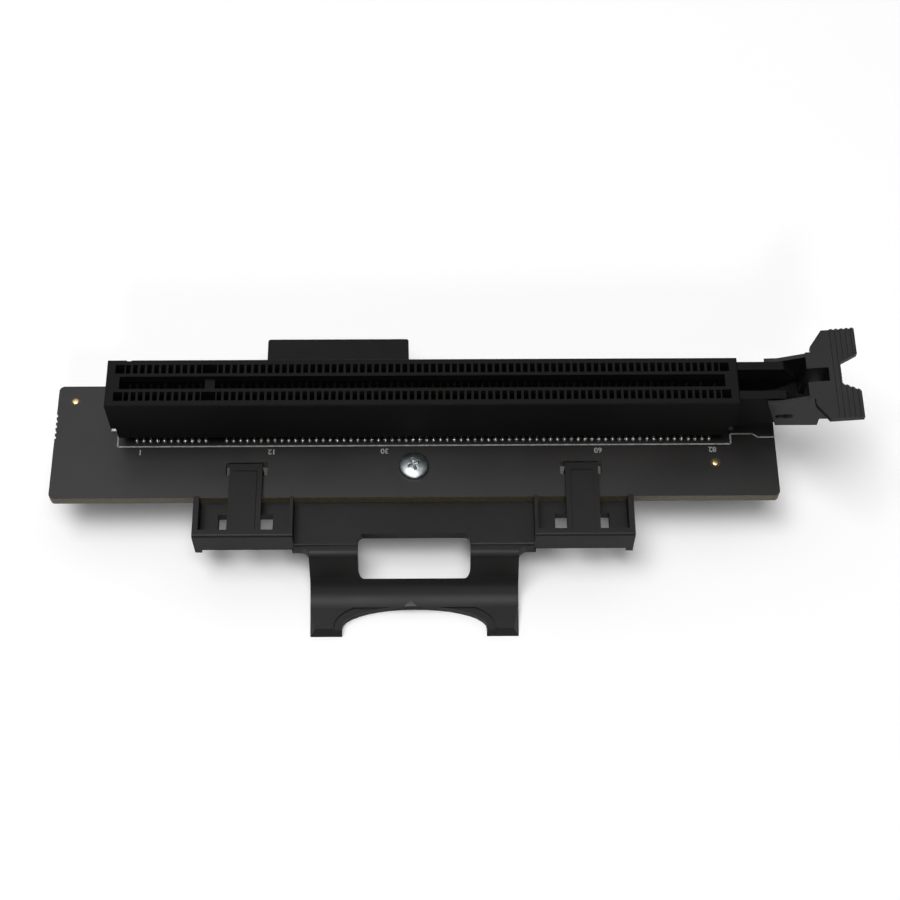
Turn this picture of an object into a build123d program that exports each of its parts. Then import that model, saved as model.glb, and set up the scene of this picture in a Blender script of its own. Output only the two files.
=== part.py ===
from build123d import *
import math
import os

# Riser card lying on its back, card slot upwards.
# Origin: middle of the card slot, on the board's top face. +X along the slot towards the latch,
# +Y towards the host plug, -Y towards the pull handle, +Z out of the slot. Millimetres.

# Circuit board
board_length = 104.6
board_centre_x = -1.2
board_back_y = 6.0
board_front_y = -12.5
board_thickness = 1.6
board_corner_radius = 0.8
breakaway_radius = 0.3
breakaway_pitch = 0.9
breakaway_count = 5
breakaway_centre_y = -0.7

# Slot housing
slot_length = 89.0
slot_width = 7.5
slot_height = 11.25
slot_body_base = 2.0
slot_edge_chamfer = 0.15
end_undercut = 0.7
end_undercut_height = 4.7
keel_width = 2.8
keel_standoff = 0.2
groove_length = 85.2
groove_width = 2.0
groove_floor = 2.6
key_width = 1.4
key_drop = 0.9
pin_one_notch_width = 0.7
pin_one_notch_depth = 0.35
peg_radius = 0.75
peg_clearance = 0.08
peg_inset = 3.2
peg_length = 1.5

# Contacts of the slot
contact_pitch = 1.0
end_to_first_contact = 3.0
short_side_contacts = 11
long_side_contacts = 71
key_step = 3.0
contact_width = 0.44
contact_thickness = 0.2
contact_toe = 3.25
contact_heel = 2.3
contact_bump = 0.6
contact_bump_drop = 2.95
contact_tip = 1.25
contact_tip_drop = 1.75

# Cells that hold the contacts
cell_width = 0.66
cell_inner = 1.5
cell_outer = 2.92
bridge_depth = 1.5
end_pocket_length = 1.3
key_pocket_length = 2.0
pocket_depth = 3.0

# Cheeks that carry the latch
cheek_outer = 3.0
cheek_inner = 1.72
cheek_root_base = 3.0
cheek_heel_base = 4.6
cheek_toe_base = 6.4
cheek_toe_top = 8.6
cheek_heel_length = 2.0
cheek_floor_thickness = 1.2
cheek_length = 8.5
pivot_from_cheek_end = 1.1
pivot_height = 7.45
pivot_radius = 0.5
pivot_clearance = 0.05

# Retention latch
latch_side_clearance = 0.15
latch_half_width = 3.75
arm_slant = 1.9
arm_nose_length = 3.5
arm_nose_height = 10.9
arm_base = 4.9
arm_shoulder_drop = 0.1
latch_web_gap = 1.0
latch_web_length = 4.6
latch_web_taper = 1.2
latch_step_length = 2.3
latch_step_rise = 1.8
latch_notch_width = 2.2
latch_notch_length = 3.0
latch_shoulder_height = 12.5
wing_top_height = 13.4
wing_thickness = 0.8
wing_start = 0.8
wing_full = 2.5
wing_inner_half = 4.7
wing_outer_half = 7.2
wing_length = 7.1
tail_root_half = 1.7
tail_tip_half = 3.0
rib_count = 5
rib_pitch = 0.72
rib_width = 0.34
rib_height = 0.22
rib_edge = 0.2
pivot_recess_length = 2.5
pivot_recess_depth = 0.3

# Bracket with its pull handle
bracket_centre_x = -1.35
bracket_wall = 1.6
bracket_half_length = 31.25
pocket_inner_half = 17.1
pocket_top = 1.2
pocket_front_y = -19.2
pocket_front_wall = 1.1
pocket_outer_wall = 0.8
pocket_inner_wall = 0.5
pocket_edge_gap = 0.3
pocket_floor_reach = 1.6
plate_front_y = -19.4
plate_back_y = -4.4
bracket_edge_radius = 0.4
foot_nub_size = 1.0
foot_nub_height = 0.8
arm_centre = 24.05
arm_width = 4.75
arm_thickness = 0.85
arm_ridge_width = 3.2
arm_tip_y = -7.1
arm_board_gap = 0.1
hook_length = 1.5
hook_reach = 0.7
hook_barb = 0.35
hook_below_board = 0.75
catch_hole_side_gap = 0.6
catch_hole_end_gap = 0.3
core_window_length = 7.8
core_window_back_y = -14.4

# Neck and lip of the handle
handle_half_width = 14.9
neck_start_y = -20.84
neck_slope = 70.0
neck_drop = 6.6
neck_top_radius = 1.2
neck_foot_radius = 4.0
handle_wall = 1.6
handle_front_y = -29.9
foot_front_bevel = 0.6
foot_side_bevel = 0.9
foot_bevel_start_y = -25.6
plate_corner_radius = 1.3
window_half_length = 8.0
window_back_y = -17.5
window_front_y = -22.5
window_corner_radius = 0.85
arch_leg = 1.15
arch_half_width = 10.35
arch_rise = 3.0
arch_steps = 18
arch_ledge = 1.15
arch_ledge_depth = 0.3
shoulder_reach = 0.3
shoulder_drop = 0.8
shoulder_depth = 1.0

# Screw and its boss
screw_y = -7.6
screw_head_radius = 2.15
screw_head_height = 1.35
screw_rim_height = 0.75
screw_shoulder_radius = 1.6
screw_shoulder_height = 1.22
screw_crown_radius = 1.3
screw_shank_radius = 1.25
screw_length = 6.0
screw_point_length = 0.8
screw_hole_clearance = 0.2
cross_recess_length = 2.2
cross_recess_width = 0.45
cross_recess_depth = 0.8
boss_radius = 2.7
boss_floor = 0.8

# Host plug under the board's far edge
plug_length = 21.1
plug_centre_x = -12.75
plug_back_y = 15.2
plug_front_y = -1.6
plug_height = 8.2
plug_edge_chamfer = 0.3
plug_mouth_wall = 1.0
plug_mouth_height = 5.2
plug_mouth_depth = 7.4
plug_tongue_thickness = 1.8
plug_tongue_inset = 0.7
plug_tongue_setback = 0.6
plug_contacts = 15
plug_contact_pitch = 1.2
plug_contact_width = 0.5
plug_contact_thickness = 0.2
plug_contact_setback = 0.5
plug_tail_reach = 1.6
plug_row_step = 0.9

# Solder tabs
tab_thickness = 0.3
tab_width = 3.4
tab_foot = 1.15
tab_height = 3.6
plug_tab_width = 4.0
plug_tab_foot = 1.4
plug_tab_height = 4.0

# How far a cutting shape reaches past the surface that it cuts
cut_margin = 1.0

# Values that follow from those above
board_underside = -board_thickness
board_left = board_centre_x - board_length / 2
slot_half_length = slot_length / 2
first_contact_x = end_to_first_contact - slot_half_length
long_side_start_x = first_contact_x + (short_side_contacts - 1) * contact_pitch + key_step
key_x = long_side_start_x - key_step / 2
cell_window_top = slot_height - bridge_depth
lower_end = slot_half_length - end_undercut
cheek_end = slot_half_length + cheek_length
pivot_x = cheek_end - pivot_from_cheek_end
web_start = cheek_end + latch_web_gap
plate_top = board_underside
plate_base = plate_top - bracket_wall
lip_top = plate_top - neck_drop
lip_base = lip_top - handle_wall
screw_x = bracket_centre_x
plug_top = board_underside
plug_base = plug_top - plug_height


def box_between(low, high):
    """A box from its lowest to its highest corner."""
    size = [high[i] - low[i] for i in range(3)]
    middle = [(high[i] + low[i]) / 2 for i in range(3)]
    return Pos(*middle) * Box(*size)


def across(points, half_width, centre_x=0.0):
    """A profile given as (y, z) points, carried along X on both sides of centre_x."""
    face = Plane.YZ * make_face(Polyline(*points, close=True))
    return Pos(centre_x, 0, 0) * extrude(face, half_width, both=True)


def along_depth(points, half_width):
    """A profile given as (x, z) points, carried along Y on both sides of the middle."""
    face = Plane.XZ * make_face(Polyline(*points, close=True))
    return extrude(face, half_width, both=True)


def upwards(points, low, high):
    """A plan given as (x, y) points, carried from one height to another."""
    face = make_face(Polyline(*points, close=True))
    return Pos(0, 0, low) * extrude(face, high - low)


def strip_outline(points, thickness):
    """The outline of a bent strip of even thickness along a line of (y, z) points."""
    half = thickness / 2
    left_side = []
    right_side = []
    for index, (a, b) in enumerate(points):
        before = points[max(index - 1, 0)]
        after = points[min(index + 1, len(points) - 1)]
        arrive = math.atan2(b - before[1], a - before[0]) if index else None
        leave = math.atan2(after[1] - b, after[0] - a) if index < len(points) - 1 else None
        arrive = leave if arrive is None else arrive
        leave = arrive if leave is None else leave
        turn = (leave - arrive + math.pi) % (2 * math.pi) - math.pi
        normal = arrive + turn / 2 + math.pi / 2
        reach = half / math.cos(turn / 2)
        left_side.append((a + reach * math.cos(normal), b + reach * math.sin(normal)))
        right_side.append((a - reach * math.cos(normal), b - reach * math.sin(normal)))
    return left_side + right_side[::-1]


def mirrored(points):
    """The same outline on the other side of the slot."""
    return [(-a, b) for a, b in points]


def contact_places(side):
    """X places of the contacts on the short or the long side of the key."""
    if side == "short":
        return [first_contact_x + i * contact_pitch for i in range(short_side_contacts)]
    return [long_side_start_x + i * contact_pitch for i in range(long_side_contacts)]


def make_board():
    """Bare board with its screw hole, catch holes, peg holes and breakaway marks."""
    depth = board_back_y - board_front_y
    middle_y = (board_back_y + board_front_y) / 2
    plan = Pos(board_centre_x, middle_y) * RectangleRounded(board_length, depth, board_corner_radius)
    plan -= Pos(screw_x, screw_y) * Circle(screw_shank_radius + screw_hole_clearance)
    for side in (-1, 1):
        hole_x = bracket_centre_x + side * arm_centre
        hole_back = arm_tip_y + catch_hole_end_gap
        hole_front = arm_tip_y - hook_length - catch_hole_end_gap
        hole_length = arm_width + 2 * catch_hole_side_gap
        plan -= Pos(hole_x, (hole_back + hole_front) / 2) * Rectangle(hole_length, hole_back - hole_front)
    for peg_x in peg_places():
        plan -= Pos(peg_x, 0) * Circle(peg_radius + peg_clearance)
    for index in range(breakaway_count):
        bite_y = breakaway_centre_y + (index - (breakaway_count - 1) / 2) * breakaway_pitch
        plan -= Pos(board_left, bite_y) * RegularPolygon(breakaway_radius, 8)
    return Pos(0, 0, board_underside) * extrude(plan, board_thickness)


def peg_places():
    """X places of the slot's two locating pegs: under the key and near the latch end."""
    return [key_x, lower_end - peg_inset]


def cell_outline():
    """Section of one contact cell, open at the top and, below its bridge, into the card groove."""
    inside = groove_width / 2 - contact_thickness
    return [
        (cell_outer, slot_height + cut_margin),
        (cell_outer, groove_floor),
        (inside, groove_floor),
        (inside, cell_window_top),
        (cell_inner, cell_window_top),
        (cell_inner, slot_height + cut_margin),
    ]


def groove_stretches():
    """The card groove's two stretches, each side of the key."""
    half = groove_length / 2
    return [(-half, key_x - key_width / 2), (key_x + key_width / 2, half)]


def make_groove():
    """Space for the card's edge, with the key left standing a little below the top."""
    half = groove_width / 2
    spaces = []
    for start, end in groove_stretches():
        spaces.append(box_between((start, -half, groove_floor), (end, half, slot_height)))
    key_top = slot_height - key_drop
    over_key = box_between(
        (key_x - key_width, -half, key_top),
        (key_x + key_width, half, slot_height),
    )
    return spaces + [over_key]


def make_wide_pockets():
    """Cored pockets at the ends of each row and beside the key."""
    end_middle = slot_half_length - end_to_first_contact + contact_pitch / 2 + end_pocket_length / 2
    spaces = []
    for middle, length in (
        (-end_middle, end_pocket_length),
        (key_x, key_pocket_length),
        (end_middle, end_pocket_length),
    ):
        for side in (-1, 1):
            low = min(side * cell_inner, side * cell_outer)
            spaces.append(
                box_between(
                    (middle - length / 2, low, slot_height - pocket_depth),
                    (middle + length / 2, low + cell_outer - cell_inner, slot_height),
                )
            )
    return spaces


def make_slot_body():
    """Outer form of the slot: long body, undercut ends and the keel that stands over the board."""
    half = slot_width / 2
    body = box_between((-slot_half_length, -half, slot_body_base), (slot_half_length, half, slot_height))
    body = chamfer(body.faces().sort_by(Axis.Z)[-1].edges(), slot_edge_chamfer)
    for side in (-1, 1):
        low = min(side * lower_end, side * slot_half_length)
        body -= box_between((low, -half, slot_body_base), (low + end_undercut, half, end_undercut_height))
    keel = box_between(
        (-lower_end, -keel_width / 2, keel_standoff),
        (lower_end, keel_width / 2, slot_body_base),
    )
    body += keel
    for peg_x in peg_places():
        body += Pos(peg_x, 0, -peg_length) * extrude(Circle(peg_radius), peg_length + keel_standoff)
    return body


def make_cheeks():
    """The two cheeks past the slot's right-hand end, with the bosses that the latch turns on."""
    start = slot_half_length
    base = [
        (start, cheek_root_base),
        (cheek_end - cheek_heel_length, cheek_heel_base),
        (cheek_end, cheek_toe_base),
    ]
    end_slope = [(cheek_end, cheek_toe_top), (cheek_end - cheek_heel_length, slot_height)]
    block = along_depth(base + end_slope + [(start, slot_height)], cheek_outer)
    channel_base = [(x, z + cheek_floor_thickness) for x, z in base]
    channel = along_depth(channel_base + [(cheek_end, slot_height), (start, slot_height)], cheek_inner)
    boss = extrude(Plane.XZ * Circle(pivot_radius), latch_half_width, both=True)
    boss -= Box(2 * pivot_radius, 2 * cheek_outer, 2 * pivot_radius)
    return block - channel + Pos(pivot_x, 0, pivot_height) * boss


def make_slot_housing():
    """Card slot moulding with its groove, cells, pockets and latch cheeks."""
    body = make_slot_body()
    cutters = make_groove() + make_wide_pockets()
    cell = cell_outline()
    for side_outline in (cell, mirrored(cell)):
        for place in contact_places("short") + contact_places("long"):
            cutters.append(across(side_outline, cell_width / 2, place))
    body -= cutters
    half = slot_width / 2
    notch = box_between(
        (first_contact_x - pin_one_notch_width / 2, half - pin_one_notch_depth, slot_height - pin_one_notch_depth),
        (first_contact_x + pin_one_notch_width / 2, half, slot_height),
    )
    body -= notch
    return body + make_cheeks()


def contact_outline():
    """Side of one sprung contact: toe on the board, leaf leaning inwards, bump and lead-in tip."""
    thick = contact_thickness
    return [
        (contact_toe, 0),
        (contact_toe, thick),
        (contact_heel + thick, thick),
        (contact_bump + thick, slot_height - contact_bump_drop),
        (contact_tip, slot_height - contact_tip_drop),
        (contact_bump, slot_height - contact_bump_drop),
        (contact_heel, 0),
    ]


def make_contacts(row, side):
    """One row of equal contacts on one side of the key."""
    outline = contact_outline()
    if row == "front":
        outline = mirrored(outline)
    return Compound([across(outline, contact_width / 2, place) for place in contact_places(side)])


def make_hold_down(side):
    """Bent tab at one end of the slot: a foot on the board and an upright against the housing."""
    wall = side * lower_end
    outline = [
        (wall, 0),
        (wall + side * (tab_thickness + tab_foot), 0),
        (wall + side * (tab_thickness + tab_foot), tab_thickness),
        (wall + side * tab_thickness, tab_thickness),
        (wall + side * tab_thickness, tab_height),
        (wall, tab_height),
    ]
    return along_depth(outline, tab_width / 2)


def latch_side_outline():
    """The latch seen from the side, without its ribs: arm, shoulder, web and step."""
    nose_x = pivot_x - arm_nose_length
    web_end = web_start + latch_web_length
    step_x = web_start + latch_step_length
    return [
        (nose_x, arm_nose_height),
        (nose_x + arm_slant, arm_nose_height + arm_shoulder_drop),
        (web_start + wing_start, latch_shoulder_height),
        (web_end, latch_shoulder_height),
        (web_end - latch_web_taper, arm_base + latch_step_rise),
        (step_x, arm_base + latch_step_rise),
        (step_x, arm_base),
        (nose_x + arm_slant, arm_base),
    ]


def wing_side_outline():
    """The wings seen from the side: a rising top with finger ribs across it."""
    start = web_start
    end = web_start + wing_length
    rise = wing_top_height - latch_shoulder_height

    def top_at(x):
        return latch_shoulder_height + rise * (x - start) / wing_length

    top = [(start, top_at(start))]
    for index in range(rib_count):
        middle = end - rib_edge - rib_width / 2 - (rib_count - 1 - index) * rib_pitch
        low_x = middle - rib_width / 2
        high_x = middle + rib_width / 2
        top += [
            (low_x, top_at(low_x)),
            (low_x, top_at(low_x) + rib_height),
            (high_x, top_at(high_x) + rib_height),
            (high_x, top_at(high_x)),
        ]
    top.append((end, top_at(end)))
    return top + [(end, top_at(end) - wing_thickness), (start, top_at(start) - wing_thickness)]


def wing_plan():
    """The fish tail seen from above."""
    half = [
        (web_start, latch_half_width),
        (web_start + wing_start, latch_half_width),
        (web_start + wing_start, wing_inner_half),
        (web_start + wing_full, wing_outer_half),
        (web_start + wing_length, wing_outer_half),
        (web_start + wing_length, tail_tip_half),
        (web_start + latch_web_length, tail_root_half),
    ]
    return half + [(x, -y) for x, y in half[::-1]]


def make_latch():
    """Fish-tail latch: two arms outside the cheeks, a web, and ribbed wings for a thumb."""
    latch = along_depth(latch_side_outline(), latch_half_width)
    inner = cheek_outer + latch_side_clearance
    latch -= box_between((0, -inner, 0), (web_start, inner, 2 * slot_height))
    low = min(p[1] for p in wing_side_outline())
    wings = along_depth(wing_side_outline(), wing_outer_half + cut_margin)
    wings &= upwards(wing_plan(), low - cut_margin, wing_top_height + cut_margin)
    latch += wings
    latch -= box_between(
        (web_start, -latch_notch_width / 2, 0),
        (web_start + latch_notch_length, latch_notch_width / 2, 2 * slot_height),
    )
    hole = Plane.XZ * Circle(pivot_radius + pivot_clearance)
    latch -= Pos(pivot_x, 0, pivot_height) * extrude(hole, latch_half_width, both=True)
    recess_width = 2 * (pivot_radius + pivot_clearance)
    recess = Plane.XZ * SlotOverall(pivot_recess_length, recess_width)
    recess_x = pivot_x - (pivot_recess_length - recess_width) / 2
    for side in (-1, 1):
        middle = side * (latch_half_width - pivot_recess_depth / 2)
        latch -= Pos(recess_x, middle, pivot_height) * extrude(recess, pivot_recess_depth / 2, both=True)
    return latch


def neck_outline():
    """Section of the plate, neck and lip, with the bends rounded."""
    slope = math.radians(neck_slope)
    run = neck_drop / math.tan(slope)
    shift = handle_wall / math.sin(slope)
    under_start = neck_start_y - bracket_wall / math.tan(slope) + shift
    under_end = neck_start_y - (neck_drop + handle_wall) / math.tan(slope) + shift
    corners = [
        (plate_front_y, plate_top),
        (neck_start_y, plate_top),
        (neck_start_y - run, lip_top),
        (handle_front_y + foot_front_bevel, lip_top),
        (handle_front_y, lip_base),
        (under_end, lip_base),
        (under_start, plate_base),
        (plate_front_y, plate_base),
    ]
    face = make_face(Polyline(*corners, close=True))
    rounds = (
        (corners[1], neck_top_radius),
        (corners[2], neck_foot_radius),
        (corners[5], neck_foot_radius + handle_wall),
    )
    for corner, radius in rounds:
        vertex = face.vertices().sort_by_distance(Vector(*corner))[0]
        face = fillet(vertex, radius)
    return face


def arch_plan(margin):
    """Plan of the finger arch, wider all round by a margin: half an ellipse on two short legs."""
    centre_y = handle_front_y + arch_leg
    points = [(arch_half_width + margin, 2 * handle_front_y - centre_y)]
    for step in range(arch_steps + 1):
        angle = math.pi * step / arch_steps
        points.append(
            (
                (arch_half_width + margin) * math.cos(angle),
                centre_y + (arch_rise + margin) * math.sin(angle),
            )
        )
    points.append((-arch_half_width - margin, 2 * handle_front_y - centre_y))
    return points


def make_side_bevel(side):
    """Wedge taken off the top outer edge of one foot, growing towards the front."""
    edge = side * handle_half_width
    back = Vector(edge, foot_bevel_start_y, lip_top)
    inner = Vector(edge - side * foot_side_bevel, handle_front_y, lip_top)
    outer = Vector(edge, handle_front_y, lip_top)
    foot = Vector(edge, handle_front_y, lip_base)
    sides = [(back, inner, outer), (back, outer, foot), (back, foot, inner), (inner, foot, outer)]
    return Solid(Shell([Face(Wire.make_polygon(corners)) for corners in sides]))


def make_handle():
    """Neck and lip, with the window, the finger arch and its ledge, and the bevelled feet."""
    solid = extrude(Plane.YZ * neck_outline(), handle_half_width, both=True)
    depth = neck_drop + handle_wall + bracket_wall
    window_middle = (window_back_y + window_front_y) / 2
    window = RectangleRounded(2 * window_half_length, window_back_y - window_front_y, window_corner_radius)
    solid -= Pos(0, window_middle, plate_top - depth) * extrude(window, depth)
    solid -= upwards(arch_plan(arch_ledge), lip_top - arch_ledge_depth, lip_top)
    solid -= upwards(arch_plan(0), lip_base, lip_top)
    for side in (-1, 1):
        solid -= make_side_bevel(side)
    return solid


def make_base_plate():
    """Plate under the board, with the window's back part and rounded inner corners at the neck."""
    front = plate_front_y
    plate = box_between(
        (-pocket_inner_half, front, plate_base),
        (pocket_inner_half, plate_back_y, plate_top),
    )
    plate = fillet(plate.edges().filter_by(Axis.X).group_by(Axis.Y)[0].sort_by(Axis.Z)[-1:], bracket_edge_radius)
    window_middle = (window_back_y + window_front_y) / 2
    window = RectangleRounded(2 * window_half_length, window_back_y - window_front_y, window_corner_radius)
    plate -= Pos(0, window_middle, plate_base) * extrude(window, bracket_wall)
    for side in (-1, 1):
        corner = Pos(side * (handle_half_width + plate_corner_radius / 2), front - plate_corner_radius / 2)
        web = corner * Rectangle(plate_corner_radius, plate_corner_radius)
        web -= Pos(side * (handle_half_width + plate_corner_radius), front - plate_corner_radius) * Circle(
            plate_corner_radius
        )
        web_base = plate_base - shoulder_drop
        plate += Pos(0, 0, web_base) * extrude(web, bracket_wall + shoulder_drop)
        shoulder_end = pocket_inner_half + shoulder_reach
        plate += box_between(
            (min(side * handle_half_width, side * shoulder_end), front, web_base),
            (max(side * handle_half_width, side * shoulder_end), front + shoulder_depth, plate_base),
        )
    return plate


def make_pocket(side):
    """One pocket beside the plate: floor, three walls, corner nub, catch arm and core window."""
    inner = pocket_inner_half
    outer = bracket_half_length
    wall_back = board_front_y - pocket_edge_gap

    def placed(x0, x1, y0, y1, z0, z1):
        low = min(side * x0, side * x1)
        return box_between((low, y0, z0), (low + abs(x1 - x0), y1, z1))

    front = placed(inner, outer, pocket_front_y, pocket_front_y + pocket_front_wall, plate_base, pocket_top)
    top_edge = front.edges().filter_by(Axis.X).group_by(Axis.Y)[0].sort_by(Axis.Z)[-1:]
    pocket = fillet(top_edge, bracket_edge_radius)
    floor_back = board_front_y + pocket_floor_reach
    pocket += placed(
        inner - pocket_inner_wall, outer, pocket_front_y + pocket_front_wall, floor_back, plate_base, plate_top
    )
    pocket += placed(
        inner, inner + pocket_inner_wall, pocket_front_y + pocket_front_wall, wall_back, plate_base, pocket_top
    )
    pocket += placed(
        outer - pocket_outer_wall, outer, pocket_front_y + pocket_front_wall, wall_back, plate_base, pocket_top
    )
    pocket += placed(
        outer - foot_nub_size,
        outer,
        pocket_front_y,
        pocket_front_y + foot_nub_size,
        plate_base - foot_nub_height,
        plate_base,
    )
    pocket -= placed(
        arm_centre - core_window_length / 2,
        arm_centre + core_window_length / 2,
        pocket_front_y + pocket_front_wall,
        core_window_back_y,
        plate_base,
        plate_top,
    )
    return pocket + make_catch_arm(side)


def make_catch_arm(side):
    """Springy arm over the board, with a hook that drops through the catch hole and grips below."""
    arm_x = side * arm_centre
    root_y = pocket_front_y + pocket_front_wall
    hook_back = arm_tip_y
    hook_front = arm_tip_y - hook_length
    hook_base = board_underside - hook_below_board
    base_z = arm_board_gap
    outline = [
        (root_y, base_z),
        (hook_front, base_z),
        (hook_front, hook_base),
        (hook_back - hook_reach, hook_base),
        (hook_back - hook_reach + hook_barb, board_underside - arm_board_gap),
        (hook_back - hook_reach, board_underside - arm_board_gap),
        (hook_back - hook_reach, base_z),
        (hook_back, base_z),
        (hook_back, base_z + arm_thickness / 2),
        (hook_back - arm_thickness / 2, base_z + arm_thickness),
        (root_y, base_z + arm_thickness),
    ]
    arm = across(outline, arm_width / 2, arm_x)
    ridge_front = root_y
    ridge_back = hook_front
    ridge = [
        (ridge_front, base_z + arm_thickness),
        (ridge_back, base_z + arm_thickness),
        (ridge_back - (pocket_top - base_z - arm_thickness), pocket_top),
        (ridge_front, pocket_top),
    ]
    return arm + across(ridge, arm_ridge_width / 2, arm_x)


def make_boss():
    """Screw boss under the plate, with a blind hole for the screw's thread."""
    height = screw_length - board_thickness - bracket_wall + boss_floor
    boss = Pos(0, screw_y, plate_base - height) * extrude(Circle(boss_radius), height)
    return boss


def make_bracket():
    """The whole bracket moulding, built about its own middle and then put in its place."""
    bracket = make_base_plate() + make_handle() + make_boss()
    for side in (-1, 1):
        bracket += make_pocket(side)
    bore_depth = screw_length - board_thickness
    bore = extrude(Circle(screw_shank_radius), bore_depth)
    bracket -= Pos(0, screw_y, plate_top - bore_depth) * bore
    return Pos(bracket_centre_x, 0, 0) * bracket


def make_screw():
    """Pan-head screw with a cross recess, a plain shank in place of the thread and a blunt point."""
    half_section = [
        (0, 0),
        (screw_head_radius, 0),
        (screw_head_radius, screw_rim_height),
        (screw_shoulder_radius, screw_shoulder_height),
        (screw_crown_radius, screw_head_height),
        (0, screw_head_height),
    ]
    head = revolve(Plane.XZ * make_face(Polyline(*half_section, close=True)), Axis.Z)
    for length, width in ((cross_recess_length, cross_recess_width), (cross_recess_width, cross_recess_length)):
        head -= Pos(0, 0, screw_head_height - cross_recess_depth / 2) * Box(length, width, cross_recess_depth)
    shank_length = screw_length - screw_point_length
    shank = Pos(0, 0, -shank_length) * extrude(Circle(screw_shank_radius), shank_length)
    point = Pos(0, 0, -shank_length - screw_point_length / 2) * Rot(180, 0, 0) * Cone(
        screw_shank_radius, screw_shank_radius / 2, screw_point_length
    )
    return Pos(screw_x, screw_y, 0) * (head + shank + point)


def make_plug_housing():
    """Right-angle plug: block under the board, open mouth to the back and a tongue inside it."""
    half = plug_length / 2
    block = box_between((-half, plug_front_y, plug_base), (half, plug_back_y, plug_top))
    block = chamfer(block.faces().sort_by(Axis.Y)[-1].edges(), plug_edge_chamfer)
    mouth_half = half - plug_mouth_wall
    middle_z = (plug_top + plug_base) / 2
    mouth = box_between(
        (-mouth_half, plug_back_y - plug_mouth_depth, middle_z - plug_mouth_height / 2),
        (mouth_half, plug_back_y, middle_z + plug_mouth_height / 2),
    )
    tongue = box_between(
        (-mouth_half + plug_tongue_inset, plug_back_y - plug_mouth_depth, middle_z - plug_tongue_thickness / 2),
        (mouth_half - plug_tongue_inset, plug_back_y - plug_tongue_setback, middle_z + plug_tongue_thickness / 2),
    )
    return Pos(plug_centre_x, 0, 0) * (block - mouth + tongue)


def make_plug_contacts(row):
    """One row of the plug's contacts: blade on the tongue, run through the block, tail to the board."""
    side = 1 if row == "upper" else -1
    middle_z = (plug_top + plug_base) / 2
    blade_z = middle_z + side * (plug_tongue_thickness + plug_contact_thickness) / 2
    blade_end = plug_back_y - plug_tongue_setback - plug_contact_setback
    tail_y = plug_front_y - plug_row_step / 2 - (0 if row == "upper" else plug_row_step)
    pad_z = board_underside - plug_contact_thickness / 2
    line = [(blade_end, blade_z), (tail_y, blade_z), (tail_y, pad_z)]
    outline = strip_outline(line, plug_contact_thickness)
    start = plug_centre_x - (plug_contacts - 1) * plug_contact_pitch / 2
    places = [start + i * plug_contact_pitch for i in range(plug_contacts)]
    return Compound([across(outline, plug_contact_width / 2, place) for place in places])


def make_plug_tab(side):
    """Bent tab at one end of the plug, soldered to the board's underside."""
    wall = plug_centre_x + side * plug_length / 2
    foot_end = wall + side * (tab_thickness + plug_tab_foot)
    outline = [
        (wall, board_underside),
        (foot_end, board_underside),
        (foot_end, board_underside - tab_thickness),
        (wall + side * tab_thickness, board_underside - tab_thickness),
        (wall + side * tab_thickness, board_underside - plug_tab_height),
        (wall, board_underside - plug_tab_height),
    ]
    middle_y = (board_back_y + plug_front_y) / 2
    return Pos(0, middle_y, 0) * along_depth(outline, plug_tab_width / 2)


pieces = {
    "circuit_board": make_board(),
    "slot_housing": make_slot_housing(),
    "back_short_contacts": make_contacts("back", "short"),
    "back_long_contacts": make_contacts("back", "long"),
    "front_short_contacts": make_contacts("front", "short"),
    "front_long_contacts": make_contacts("front", "long"),
    "left_hold_down": make_hold_down(-1),
    "right_hold_down": make_hold_down(1),
    "retention_latch": make_latch(),
    "bracket_handle": make_bracket(),
    "bracket_screw": make_screw(),
    "host_plug_housing": make_plug_housing(),
    "host_plug_upper_contacts": make_plug_contacts("upper"),
    "host_plug_lower_contacts": make_plug_contacts("lower"),
    "left_plug_tab": make_plug_tab(-1),
    "right_plug_tab": make_plug_tab(1),
}

os.makedirs("parts", exist_ok=True)
for name, shape in pieces.items():
    export_step(shape, f"parts/{name}.step")
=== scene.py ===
import math

import bpy
from mathutils import Matrix, Vector


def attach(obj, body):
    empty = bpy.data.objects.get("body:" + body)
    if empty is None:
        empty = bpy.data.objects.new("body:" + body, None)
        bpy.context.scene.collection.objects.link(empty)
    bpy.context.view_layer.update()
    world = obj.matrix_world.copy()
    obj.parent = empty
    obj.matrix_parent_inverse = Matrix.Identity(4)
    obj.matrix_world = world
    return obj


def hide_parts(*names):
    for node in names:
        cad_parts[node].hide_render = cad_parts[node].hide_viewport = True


# Looks of a riser card that lies on its back, with its card slot upwards. The camera looks from
# the handle's side (minus Y), and the latch is at the plus X end.
# Lengths and places are in millimetres, and become metres where a mesh is made: MM is one
# millimetre. Only the studio's lamps are placed in metres.

MM = 0.001
EDGE_ANGLE = math.radians(32)
SAME_POINT = 0.000001  # metres
FLAT_FACE = 0.9  # least Z of the normal of a face that counts as level

# Colours, as linear red, green and blue
MASK_DARK = (0.0085, 0.0075, 0.0071)
MASK_LIGHT = (0.0112, 0.0098, 0.0093)
LAMINATE_DARK = (0.075, 0.06, 0.034)
LAMINATE_LIGHT = (0.13, 0.105, 0.06)
INK_WORN = (0.2, 0.2, 0.2)
INK_FULL = (0.36, 0.36, 0.355)
PLASTIC_VARIATION = 0.18

# Places and sizes shared with the solids
BOARD_TOP = 0.0
FLOOR_Z = -9.8
LIP_TOP = -8.2
FIRST_CONTACT = -41.5
SHORT_SIDE_COUNT = 11
LONG_SIDE_START = -28.5
LONG_SIDE_COUNT = 71

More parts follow.
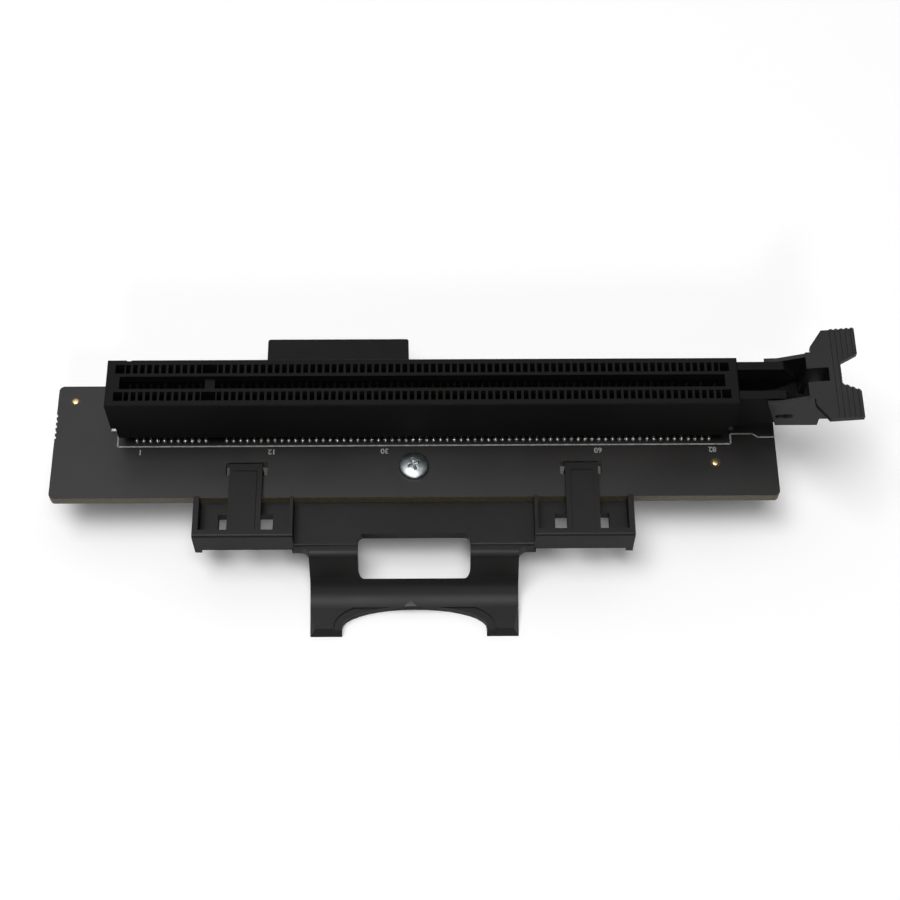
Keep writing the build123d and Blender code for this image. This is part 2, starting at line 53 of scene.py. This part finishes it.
# Rounded mouldings: the solid that each stands for, its name, edge width, segments and slot
MOULDINGS = (
    ("slot_housing", "slot_moulding", 0.07, 2, "slot_plastic"),
    ("bracket_handle", "bracket_moulding", 0.16, 3, "bracket_plastic"),
    ("retention_latch", "latch_moulding", 0.1, 2, "latch_plastic"),
    ("host_plug_housing", "plug_moulding", 0.15, 2, "plug_plastic"),
)

# Solder joints at the feet of the contacts
SOLDER_PLACE = 3.12
SOLDER_HALF_WIDTH = 0.31
SOLDER_HALF_LENGTH = 0.44
SOLDER_HEIGHT = 0.34
SOLDER_SEGMENTS = 12
SOLDER_RINGS = 8

# Pan-head screw: a low skirt, then the rings of its crown as radius and rise
SCREW_PLACE = (-1.35, -7.6)
SCREW_HEAD_RADIUS = 2.15
SCREW_SKIRT = 0.45
SCREW_CROWN = (
    (2.08, 0.1),
    (1.95, 0.07),
    (1.75, 0.09),
    (1.45, 0.1),
    (1.1, 0.08),
    (0.75, 0.05),
    (0.4, 0.02),
)
SCREW_EDGE = 0.04
SCREW_EDGE_ANGLE = math.radians(40)
RECESS_SIZE = (2.6, 0.62, 0.9)
RECESS_MIDDLE = 1.0
RECESS_TURNS = (math.radians(20), math.radians(110))
RECESS_TAPER = (0.45, 0.6, 1)
SHANK_RADIUS = 1.25
SHANK_LENGTH = 5.2

# Silkscreen
INK_WIDTH = 0.21
INK_THICKNESS = 0.02
INK_EDGE = 0.006
INK_CORNERS = (
    (-44.25, -1.9),
    (-44.25, -4.15),
    (44.65, -4.1),
    (44.65, -2.45),
    (47.9, -2.45),
    (48.7, -3.0),
    (50.9, -3.0),
)
PIN_NUMBERS = (
    ("1", -40.9, -5.05),
    ("12", -21.9, -5.05),
    ("30", -5.6, -5.0),
    ("60", 25.3, -5.0),
    ("82", 41.9, -4.95),
)
PIN_NUMBER_SIZE = 1.15
PIN_NUMBER_LIFT = 0.001
PIN_NUMBER_BOLDNESS = 0.02

# Placement dots
FIDUCIALS = ((-50.98, 3.47), (42.19, -7.14))
FIDUCIAL_RADIUS = 0.5
FIDUCIAL_HEIGHT = 0.14
FIDUCIAL_SEGMENTS = 32
FIDUCIAL_RINGS = 16
FIDUCIAL_RING_RADIUS = 0.72
FIDUCIAL_RING_HEIGHT = 0.006

# Arrow on the handle's lip
MARK_PLACE = (-1.9, -25.62)
MARK_RADIUS = 0.86
MARK_HEIGHT = 0.16
MARK_SHAPE = (1.25, 0.72, 1.0)
MARK_EDGE = 0.04

# Floor between the latch's arms
LATCH_FLOOR_LOW = (52.92, -3.12, 4.92)
LATCH_FLOOR_HIGH = (56.1, 3.12, 5.42)
LATCH_FLOOR_EDGE = 0.05

# Studio: each lamp's name, place in metres, width, depth and brightness
SOFT_BOXES = (
    ("overhead_soft_box", (-0.12, -0.13, 0.98), 0.8, 0.45, 7.3),
    ("rear_white_panel", (0.0, 0.60, 0.85), 1.7, 1.15, 0.6),
    ("front_glint_lamp", (0.05, -0.80, 0.60), 0.14, 0.14, 18.0),
)
ROOM_BRIGHTNESS = 0.03
FLOOR_SIZE = 4.0  # metres
FLOOR_GREY = 0.62
FLOOR_LIFT = 0.045
WHITE = (1.0, 1.0, 1.0, 1.0)
SENSOR_WIDTH = 36.0
LENS = 72.95
CAMERA_PLACE = (1.39, -129.95, 232.54)
CAMERA_LOOK = (0.0094, 0.4736, -0.8807)
CAMERA_UP = (0.0046, 0.8807, 0.4737)


def deselect_all():
    bpy.ops.object.select_all(action="DESELECT")


def make_active(piece):
    deselect_all()
    piece.select_set(True)
    bpy.context.view_layer.objects.active = piece


def name_piece(piece, name):
    piece.name = name
    piece.data.name = name
    return piece


def settle(piece):
    """Puts a piece's place, turn and size into its mesh, with its faces outwards."""
    make_active(piece)
    bpy.ops.object.transform_apply(location=True, rotation=True, scale=True)
    bpy.ops.object.mode_set(mode="EDIT")
    bpy.ops.mesh.select_all(action="SELECT")
    bpy.ops.mesh.remove_doubles(threshold=SAME_POINT)
    bpy.ops.mesh.normals_make_consistent(inside=False)
    bpy.ops.object.mode_set(mode="OBJECT")
    return piece


def select_level_faces(piece, side):
    """Leaves edit mode on, with only the faces selected that look up (side 1) or down (side -1)."""
    make_active(piece)
    bpy.ops.object.mode_set(mode="EDIT")
    bpy.ops.mesh.select_all(action="DESELECT")
    bpy.ops.object.mode_set(mode="OBJECT")
    for polygon in piece.data.polygons:
        polygon.select = side * polygon.normal.z > FLAT_FACE
    bpy.ops.object.mode_set(mode="EDIT")
    bpy.ops.mesh.select_mode(type="FACE")


def smooth(piece, angle=EDGE_ANGLE):
    make_active(piece)
    bpy.ops.object.shade_smooth_by_angle(angle=angle)


def keep_flats_flat(piece):
    """Lets the large faces set the shading, so that only the rounded edges shade softly."""
    make_active(piece)
    shading = piece.modifiers.new("flat_faces", "WEIGHTED_NORMAL")
    shading.keep_sharp = True
    bpy.ops.object.modifier_apply(modifier="flat_faces")


def soften_edges(piece, width, segments=2, angle=EDGE_ANGLE):
    """Rounds every edge sharper than the angle, as a mould or a cutter leaves it."""
    make_active(piece)
    rounding = piece.modifiers.new("rounding", "BEVEL")
    rounding.width = width * MM
    rounding.segments = segments
    rounding.limit_method = "ANGLE"
    rounding.angle_limit = angle
    rounding.harden_normals = False
    bpy.ops.object.modifier_apply(modifier="rounding")


def dress(piece, material, body):
    piece.data.materials.clear()
    piece.data.materials.append(material)
    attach(piece, body)
    return piece


def moulded_from(node, name, width, segments=2):
    """A copy of a solid with its edges rounded, to stand for the solid."""
    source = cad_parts[node]
    piece = source.copy()
    piece.data = source.data.copy()
    piece.animation_data_clear()
    bpy.context.scene.collection.objects.link(piece)
    piece.parent = None
    piece.matrix_world = Matrix.Identity(4)
    name_piece(piece, name)
    make_active(piece)
    bpy.ops.object.mode_set(mode="EDIT")
    bpy.ops.mesh.select_all(action="SELECT")
    bpy.ops.mesh.remove_doubles(threshold=2 * SAME_POINT)
    bpy.ops.mesh.dissolve_limited(angle_limit=math.radians(0.6))
    bpy.ops.object.mode_set(mode="OBJECT")
    soften_edges(piece, width, segments)
    smooth(piece, math.radians(50))
    keep_flats_flat(piece)
    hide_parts(node)
    return piece


# Materials


def plain_material(name):
    material = bpy.data.materials.new(name)
    material.use_nodes = True
    tree = material.node_tree
    tree.nodes.clear()
    shader = tree.nodes.new("ShaderNodeBsdfPrincipled")
    output = tree.nodes.new("ShaderNodeOutputMaterial")
    tree.links.new(shader.outputs["BSDF"], output.inputs["Surface"])
    return material, tree, shader


def object_noise(tree, scale_per_mm, detail=4.0, roughness=0.55, stretch=(1.0, 1.0, 1.0)):
    """Noise on the piece's own coordinates, with the grain size given in cycles per millimetre."""
    place = tree.nodes.new("ShaderNodeTexCoord")
    mapping = tree.nodes.new("ShaderNodeMapping")
    mapping.inputs["Scale"].default_value = stretch
    noise = tree.nodes.new("ShaderNodeTexNoise")
    noise.inputs["Scale"].default_value = scale_per_mm / MM
    noise.inputs["Detail"].default_value = detail
    noise.inputs["Roughness"].default_value = roughness
    tree.links.new(place.outputs["Object"], mapping.inputs["Vector"])
    tree.links.new(mapping.outputs["Vector"], noise.inputs["Vector"])
    return noise


def ramp_between(tree, source, low, high, low_at=0.35, high_at=0.65):
    ramp = tree.nodes.new("ShaderNodeValToRGB")
    ramp.color_ramp.elements[0].position = low_at
    ramp.color_ramp.elements[0].color = (*low, 1.0)
    ramp.color_ramp.elements[1].position = high_at
    ramp.color_ramp.elements[1].color = (*high, 1.0)
    tree.links.new(source, ramp.inputs["Fac"])
    return ramp


def range_between(tree, source, low, high, low_at=0.3, high_at=0.7):
    span = tree.nodes.new("ShaderNodeMapRange")
    span.inputs["From Min"].default_value = low_at
    span.inputs["From Max"].default_value = high_at
    span.inputs["To Min"].default_value = low
    span.inputs["To Max"].default_value = high
    tree.links.new(source, span.inputs["Value"])
    return span


def raise_surface(tree, shader, source, height_mm, strength=1.0):
    bump = tree.nodes.new("ShaderNodeBump")
    bump.inputs["Distance"].default_value = height_mm * MM
    bump.inputs["Strength"].default_value = strength
    tree.links.new(source, bump.inputs["Height"])
    tree.links.new(bump.outputs["Normal"], shader.inputs["Normal"])


def moulded_plastic(name, colour, sheen_level, rough_low, rough_high, grain_mm=0.004):
    material, tree, shader = plain_material(name)
    patches = object_noise(tree, 0.11, detail=3.0)
    dark = tuple(part * (1 - PLASTIC_VARIATION) for part in colour)
    light = tuple(part * (1 + PLASTIC_VARIATION) for part in colour)
    tint = ramp_between(tree, patches.outputs["Fac"], dark, light)
    tree.links.new(tint.outputs["Color"], shader.inputs["Base Color"])
    rough = range_between(tree, patches.outputs["Fac"], rough_low, rough_high)
    tree.links.new(rough.outputs["Result"], shader.inputs["Roughness"])
    shader.inputs["Specular IOR Level"].default_value = sheen_level
    grain = object_noise(tree, 5.0, detail=2.0)
    raise_surface(tree, shader, grain.outputs["Fac"], grain_mm)
    return material


def solder_mask():
    """Board: dark mask on both faces, bare laminate on the cut edges."""
    material, tree, shader = plain_material("solder_mask")
    patches = object_noise(tree, 0.05, detail=4.0)
    tint = ramp_between(tree, patches.outputs["Fac"], MASK_DARK, MASK_LIGHT)
    weave = object_noise(tree, 1.3, detail=3.0, stretch=(1.0, 1.0, 4.0))
    laminate = ramp_between(tree, weave.outputs["Fac"], LAMINATE_DARK, LAMINATE_LIGHT)
    facing = tree.nodes.new("ShaderNodeTexCoord")
    parts = tree.nodes.new("ShaderNodeSeparateXYZ")
    tree.links.new(facing.outputs["Normal"], parts.inputs["Vector"])
    upright = tree.nodes.new("ShaderNodeMath")
    upright.operation = "ABSOLUTE"
    tree.links.new(parts.outputs["Z"], upright.inputs[0])
    face = tree.nodes.new("ShaderNodeMath")
    face.operation = "GREATER_THAN"
    face.inputs[1].default_value = 0.5
    tree.links.new(upright.outputs["Value"], face.inputs[0])
    mixed = tree.nodes.new("ShaderNodeMix")
    mixed.data_type = "RGBA"
    tree.links.new(face.outputs["Value"], mixed.inputs["Factor"])
    tree.links.new(laminate.outputs["Color"], mixed.inputs["A"])
    tree.links.new(tint.outputs["Color"], mixed.inputs["B"])
    tree.links.new(mixed.outputs["Result"], shader.inputs["Base Color"])
    rough = range_between(tree, patches.outputs["Fac"], 0.34, 0.42)
    tree.links.new(rough.outputs["Result"], shader.inputs["Roughness"])
    shader.inputs["Specular IOR Level"].default_value = 0.5
    fine = object_noise(tree, 3.0, detail=2.0)
    raise_surface(tree, shader, fine.outputs["Fac"], 0.0015)
    return material


def plated_metal(name, low, high, rough_low, rough_high, grain=1.2, relief_mm=0.003):
    material, tree, shader = plain_material(name)
    cloud = object_noise(tree, grain, detail=4.0)
    tint = ramp_between(tree, cloud.outputs["Fac"], low, high)
    tree.links.new(tint.outputs["Color"], shader.inputs["Base Color"])
    rough = range_between(tree, cloud.outputs["Fac"], rough_low, rough_high)
    tree.links.new(rough.outputs["Result"], shader.inputs["Roughness"])
    shader.inputs["Metallic"].default_value = 1.0
    raise_surface(tree, shader, cloud.outputs["Fac"], relief_mm)
    return material


def screen_ink():
    material, tree, shader = plain_material("screen_ink")
    wear = object_noise(tree, 1.4, detail=5.0)
    tint = ramp_between(tree, wear.outputs["Fac"], INK_WORN, INK_FULL)
    tree.links.new(tint.outputs["Color"], shader.inputs["Base Color"])
    rough = range_between(tree, wear.outputs["Fac"], 0.5, 0.7)
    tree.links.new(rough.outputs["Result"], shader.inputs["Roughness"])
    raise_surface(tree, shader, wear.outputs["Fac"], 0.004)
    return material


# Pieces


def add_slab(name, low, high):
    """A rectangular slab between two corners, given in millimetres."""
    middle = [(low[i] + high[i]) / 2 * MM for i in range(3)]
    bpy.ops.mesh.primitive_cube_add(size=1, location=middle)
    slab = bpy.context.active_object
    slab.scale = [(high[i] - low[i]) * MM for i in range(3)]
    return settle(name_piece(slab, name))


def add_drum(name, place, radius, low, height, sides):
    """An upright cylinder, not settled yet, with its lower end at the height low."""
    bpy.ops.mesh.primitive_cylinder_add(
        vertices=sides,
        radius=radius * MM,
        depth=height * MM,
        location=(place[0] * MM, place[1] * MM, (low + height / 2) * MM),
    )
    return name_piece(bpy.context.active_object, name)


def join_into(pieces, name):
    deselect_all()
    for piece in pieces:
        piece.select_set(True)
    bpy.context.view_layer.objects.active = pieces[0]
    bpy.ops.object.join()
    return name_piece(bpy.context.active_object, name)


def print_outline(ink):
    """The printed frame round the slot's front, one stroke to a slab."""
    strokes = []
    for start, end in zip(INK_CORNERS, INK_CORNERS[1:]):
        length = math.dist(start, end) + INK_WIDTH
        middle = ((start[0] + end[0]) / 2 * MM, (start[1] + end[1]) / 2 * MM)
        turn = math.atan2(end[1] - start[1], end[0] - start[0])
        bpy.ops.mesh.primitive_cube_add(
            size=1,
            location=(middle[0], middle[1], (BOARD_TOP + INK_THICKNESS / 2) * MM),
            rotation=(0, 0, turn),
        )
        stroke = bpy.context.active_object
        stroke.scale = (length * MM, INK_WIDTH * MM, INK_THICKNESS * MM)
        strokes.append(settle(stroke))
    outline = join_into(strokes, "printed_outline")
    soften_edges(outline, INK_EDGE, 1)
    return dress(outline, ink, "riser")


def print_pin_numbers(ink):
    """Small plain numbers where the card has its designators, upside down from the handle's side.

    Only the first and the last stand by the contact of their number.
    """
    for text, x, y in PIN_NUMBERS:
        bpy.ops.object.text_add(
            location=(x * MM, y * MM, (BOARD_TOP + PIN_NUMBER_LIFT) * MM),
            rotation=(0, 0, math.pi),
        )
        number = bpy.context.active_object
        number.data.body = text
        number.data.size = PIN_NUMBER_SIZE * MM
        number.data.align_x = "CENTER"
        number.data.align_y = "CENTER"
        number.data.extrude = INK_THICKNESS / 2 * MM
        number.data.offset = PIN_NUMBER_BOLDNESS * MM
        make_active(number)
        bpy.ops.object.convert(target="MESH")
        number = settle(name_piece(bpy.context.active_object, "pin_number_" + text))
        dress(number, ink, "riser")


def contact_places():
    """X of every contact of a row, at a pitch of one millimetre, with a step across the key."""
    places = [FIRST_CONTACT + i for i in range(SHORT_SIDE_COUNT)]
    return places + [LONG_SIDE_START + i for i in range(LONG_SIDE_COUNT)]


def solder_rows(solder):
    """One small mound at each contact's foot, both rows, each row one piece."""
    pattern = half_dome(
        "solder_pattern",
        SOLDER_HALF_WIDTH,
        SOLDER_HALF_LENGTH,
        SOLDER_HEIGHT,
        SOLDER_SEGMENTS,
        SOLDER_RINGS,
    )
    for row, side in (("front", -1), ("back", 1)):
        joints = []
        for place in contact_places():
            joint = pattern.copy()
            joint.data = pattern.data.copy()
            bpy.context.scene.collection.objects.link(joint)
            joint.location = (place * MM, side * SOLDER_PLACE * MM, BOARD_TOP * MM)
            if side > 0:
                joint.rotation_euler = (0, 0, math.pi)
            joints.append(joint)
        joined = join_into(joints, row + "_solder_joints")
        make_active(joined)
        bpy.ops.object.transform_apply(location=True, rotation=True, scale=True)
        dress(joined, solder, "riser")
    bpy.data.objects.remove(pattern)


def half_dome(name, half_x, half_y, height, segments, rings):
    """Upper half of a rounded mound that stands on the plane Z 0."""
    bpy.ops.mesh.primitive_uv_sphere_add(segments=segments, ring_count=rings, radius=1.0)
    dome = name_piece(bpy.context.active_object, name)
    bpy.ops.object.mode_set(mode="EDIT")
    bpy.ops.mesh.select_all(action="SELECT")
    bpy.ops.mesh.bisect(plane_co=(0, 0, 0), plane_no=(0, 0, 1), use_fill=True, clear_inner=True)
    bpy.ops.object.mode_set(mode="OBJECT")
    dome.scale = (half_x * MM, half_y * MM, height * MM)
    settle(dome)
    smooth(dome, math.radians(60))
    return dome


def fiducial_marks(gold, bare):
    """Gold placement dots, each in a ring of bare laminate."""
    for index, (x, y) in enumerate(FIDUCIALS, 1):
        ring = add_drum(
            "fiducial_ring_" + str(index),
            (x, y),
            FIDUCIAL_RING_RADIUS,
            BOARD_TOP,
            FIDUCIAL_RING_HEIGHT,
            sides=40,
        )
        settle(ring)
        soften_edges(ring, FIDUCIAL_RING_HEIGHT / 4, 1)
        smooth(ring)
        dress(ring, bare, "riser")
        dot = half_dome(
            "fiducial_dot_" + str(index),
            FIDUCIAL_RADIUS,
            FIDUCIAL_RADIUS,
            FIDUCIAL_HEIGHT,
            FIDUCIAL_SEGMENTS,
            FIDUCIAL_RINGS,
        )
        dot.location = (x * MM, y * MM, BOARD_TOP * MM)
        settle(dot)
        dress(dot, gold, "riser")


def raise_crown(head):
    """Draws the head's top face up in shrinking rings, into a low dome."""
    select_level_faces(head, 1)
    reached = SCREW_HEAD_RADIUS
    for radius, rise in SCREW_CROWN:
        bpy.ops.mesh.extrude_region_move(TRANSFORM_OT_translate={"value": (0, 0, rise * MM)})
        bpy.ops.transform.resize(value=(radius / reached, radius / reached, 1))
        reached = radius
    bpy.ops.object.mode_set(mode="OBJECT")


def cut_recess_arm(head, turn):
    """Cuts one bar of the cross recess, narrower at its bottom, through the head's middle."""
    x, y = SCREW_PLACE
    bpy.ops.mesh.primitive_cube_add(
        size=1,
        location=(x * MM, y * MM, RECESS_MIDDLE * MM),
        rotation=(0, 0, turn),
    )
    arm = bpy.context.active_object
    arm.scale = [length * MM for length in RECESS_SIZE]
    settle(arm)
    select_level_faces(arm, -1)
    bpy.ops.transform.resize(value=RECESS_TAPER, center_override=(x * MM, y * MM, 0))
    bpy.ops.object.mode_set(mode="OBJECT")
    make_active(head)
    cutter = head.modifiers.new("recess", "BOOLEAN")
    cutter.operation = "DIFFERENCE"
    cutter.object = arm
    cutter.solver = "EXACT"
    bpy.ops.object.modifier_apply(modifier="recess")
    bpy.data.objects.remove(arm)


def zinc_screw(zinc):
    """Pan head with a domed crown and a cross recess, in place of the plain one."""
    head = add_drum(
        "pan_head_screw", SCREW_PLACE, SCREW_HEAD_RADIUS, BOARD_TOP, SCREW_SKIRT, sides=64
    )
    raise_crown(head)
    settle(head)
    for turn in RECESS_TURNS:
        cut_recess_arm(head, turn)
    soften_edges(head, SCREW_EDGE, 2, SCREW_EDGE_ANGLE)
    smooth(head, SCREW_EDGE_ANGLE)
    shank = add_drum(
        "screw_shank", SCREW_PLACE, SHANK_RADIUS, BOARD_TOP - SHANK_LENGTH, SHANK_LENGTH, sides=32
    )
    settle(shank)
    screw = join_into([head, shank], "pan_head_screw")
    dress(screw, zinc, "riser")
    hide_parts("bracket_screw")


def thumb_mark(plastic):
    """Small raised arrowhead behind the finger arch, on the handle's lip."""
    mark = add_drum("thumb_arrow", MARK_PLACE, MARK_RADIUS, LIP_TOP, MARK_HEIGHT, sides=3)
    mark.scale = MARK_SHAPE
    settle(mark)
    soften_edges(mark, MARK_EDGE, 2)
    smooth(mark)
    dress(mark, plastic, "riser")


def latch_floor(plastic):
    """Thin floor between the latch's arms and under its notch, past the slot's cheeks."""
    floor = add_slab("latch_floor_web", LATCH_FLOOR_LOW, LATCH_FLOOR_HIGH)
    soften_edges(floor, LATCH_FLOOR_EDGE, 1)
    smooth(floor)
    dress(floor, plastic, "latch")


# The studio


def studio_floor():
    """White floor: the camera sees it white where it is lit, and the part mirrors it grey."""
    bpy.ops.mesh.primitive_plane_add(size=FLOOR_SIZE, location=(0, 0, FLOOR_Z * MM))
    floor = name_piece(bpy.context.active_object, "studio_floor")
    settle(floor)
    material, tree, shader = plain_material("white_sweep")
    sight = tree.nodes.new("ShaderNodeLightPath")
    tone = tree.nodes.new("ShaderNodeMix")
    tone.data_type = "RGBA"
    tone.inputs["A"].default_value = (FLOOR_GREY, FLOOR_GREY, FLOOR_GREY, 1.0)
    tone.inputs["B"].default_value = WHITE
    tree.links.new(sight.outputs["Is Camera Ray"], tone.inputs["Factor"])
    tree.links.new(tone.outputs["Result"], shader.inputs["Base Color"])
    lift = tree.nodes.new("ShaderNodeMath")
    lift.operation = "MULTIPLY"
    tree.links.new(sight.outputs["Is Camera Ray"], lift.inputs[0])
    lift.inputs[1].default_value = FLOOR_LIFT
    tree.links.new(lift.outputs["Value"], shader.inputs["Emission Strength"])
    shader.inputs["Emission Color"].default_value = WHITE
    shader.inputs["Roughness"].default_value = 1.0
    shader.inputs["Specular IOR Level"].default_value = 0.0
    floor.data.materials.append(material)


def soft_box(name, place, width, depth, brightness):
    """A rectangular soft lamp that looks at the part from its place, in metres."""
    lamp_data = bpy.data.lights.new(name, "AREA")
    lamp_data.shape = "RECTANGLE"
    lamp_data.size = width
    lamp_data.size_y = depth
    lamp_data.energy = brightness * math.pi * width * depth
    lamp = bpy.data.objects.new(name, lamp_data)
    bpy.context.scene.collection.objects.link(lamp)
    lamp.location = place
    lamp.rotation_euler = (-Vector(place)).to_track_quat("-Z", "Y").to_euler()


def studio_light():
    world = bpy.data.worlds.new("studio")
    world.use_nodes = True
    room = world.node_tree.nodes["Background"]
    room.inputs["Color"].default_value = WHITE
    room.inputs["Strength"].default_value = ROOM_BRIGHTNESS
    bpy.context.scene.world = world
    for box in SOFT_BOXES:
        soft_box(*box)


def product_camera():
    """The photograph's own viewpoint, from above the handle."""
    camera_data = bpy.data.cameras.new("product_camera")
    camera_data.sensor_width = SENSOR_WIDTH
    camera_data.lens = LENS
    camera_data.clip_start = 0.01
    camera = bpy.data.objects.new("product_camera", camera_data)
    bpy.context.scene.collection.objects.link(camera)
    look = Vector(CAMERA_LOOK).normalized()
    up = Vector(CAMERA_UP).normalized()
    right = look.cross(up).normalized()
    up = right.cross(look).normalized()
    turned = Matrix((right, up, -look)).transposed().to_4x4()
    turned.translation = Vector(CAMERA_PLACE) * MM
    camera.matrix_world = turned
    bpy.context.scene.camera = camera


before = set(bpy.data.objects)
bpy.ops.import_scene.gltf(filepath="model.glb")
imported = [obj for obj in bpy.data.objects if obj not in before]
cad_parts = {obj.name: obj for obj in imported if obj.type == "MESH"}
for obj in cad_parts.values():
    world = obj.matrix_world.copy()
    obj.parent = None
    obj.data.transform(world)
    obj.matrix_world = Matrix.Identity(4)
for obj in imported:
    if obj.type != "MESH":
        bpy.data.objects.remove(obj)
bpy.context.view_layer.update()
deselect_all()

mask = solder_mask()
slot_black = moulded_plastic("slot_black", (0.0056, 0.0053, 0.0052), 0.14, 0.6, 0.7)
latch_black = moulded_plastic("latch_black", (0.010, 0.0097, 0.0097), 0.36, 0.38, 0.46)
bracket_black = moulded_plastic("bracket_black", (0.0085, 0.0079, 0.0076), 0.24, 0.4, 0.48)
mark_plastic = moulded_plastic("arrow_plastic", (0.06, 0.058, 0.056), 0.4, 0.36, 0.44)
plug_black = moulded_plastic("plug_black", (0.006, 0.0058, 0.0055), 0.16, 0.42, 0.52)
gold = plated_metal("contact_gold", (0.70, 0.50, 0.22), (0.90, 0.70, 0.38), 0.34, 0.44)
# Darker copy of the contact gold for the slot's contacts: painted shade that stands for the shade
# deep in the slot's groove.
painted_shade_gold = plated_metal(
    "shaded_contact_gold", (0.078, 0.063, 0.048), (0.13, 0.106, 0.082), 0.3, 0.42
)
solder = plated_metal(
    "bright_solder", (0.82, 0.82, 0.82), (0.95, 0.95, 0.94), 0.34, 0.42, grain=2.5
)
tin = plated_metal("tin_plate", (0.50, 0.50, 0.49), (0.68, 0.67, 0.65), 0.3, 0.45)
zinc = plated_metal(
    "bright_zinc", (0.29, 0.32, 0.33), (0.43, 0.465, 0.475), 0.32, 0.42, grain=0.8
)
ink = screen_ink()
bare_laminate = moulded_plastic("bare_laminate", (0.05, 0.04, 0.028), 0.3, 0.5, 0.6)

for node, finish in (
    ("circuit_board", mask),
    # The slot's contacts take the darker gold copy, painted shade of the groove.
    ("back_short_contacts", painted_shade_gold),
    ("back_long_contacts", painted_shade_gold),
    ("front_short_contacts", painted_shade_gold),
    ("front_long_contacts", painted_shade_gold),
    ("left_hold_down", tin),
    ("right_hold_down", tin),
    ("host_plug_upper_contacts", gold),
    ("host_plug_lower_contacts", gold),
    ("left_plug_tab", tin),
    ("right_plug_tab", tin),
):
    cad_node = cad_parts[node]
    cad_node.data.materials.clear()
    cad_node.data.materials.append(finish)

for (node, name, width, segments, slot), finish in zip(
    MOULDINGS, (slot_black, bracket_black, latch_black, plug_black)
):
    moulding = moulded_from(node, name, width, segments)
    dress(moulding, finish, "latch" if node == "retention_latch" else "riser")

print_outline(ink)
print_pin_numbers(ink)
solder_rows(solder)
fiducial_marks(gold, bare_laminate)
thumb_mark(mark_plastic)
zinc_screw(zinc)
latch_floor(slot_black)

studio_floor()
studio_light()
product_camera()
bpy.context.scene.view_settings.view_transform = "Standard"
